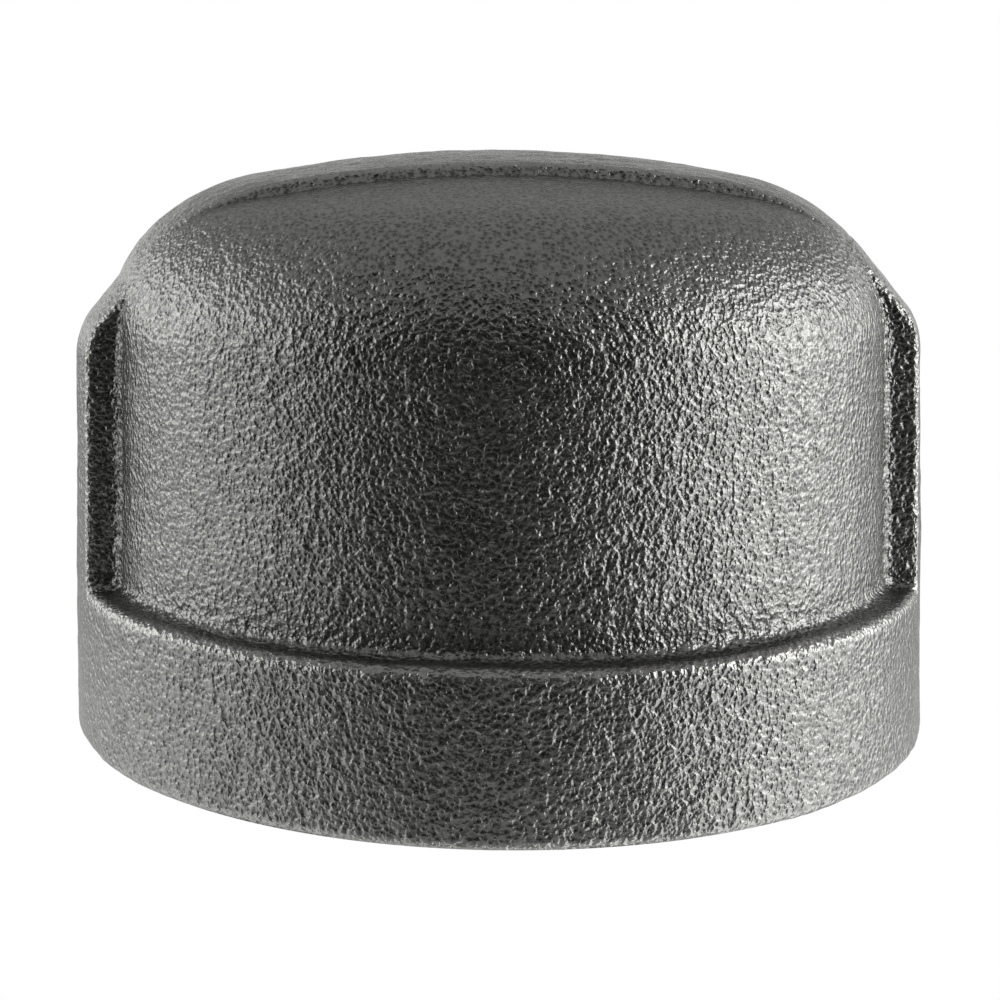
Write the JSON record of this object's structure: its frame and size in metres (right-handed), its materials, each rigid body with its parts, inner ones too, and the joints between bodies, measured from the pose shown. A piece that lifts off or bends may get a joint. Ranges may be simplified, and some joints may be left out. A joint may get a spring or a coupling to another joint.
{
  "type": "pipe cap",
  "caption": "Domed cast-iron pipe cap with a banded open end, side ribs joined by a strap over the crown, and a tapered internal pipe thread.",
  "frame": {"origin": "centre of the open end face, on the thread's axis", "axes": "+Z along the thread's axis from the open end to the closed dome; X through the two side ribs"},
  "size_m": [0.045, 0.045, 0.03],
  "materials": {
    "casting": "sand-cast, black oxide, semi-gloss"
  },
  "bodies": {
    "root": {"cap_casting": "casting"}
  },
  "joints": []
}
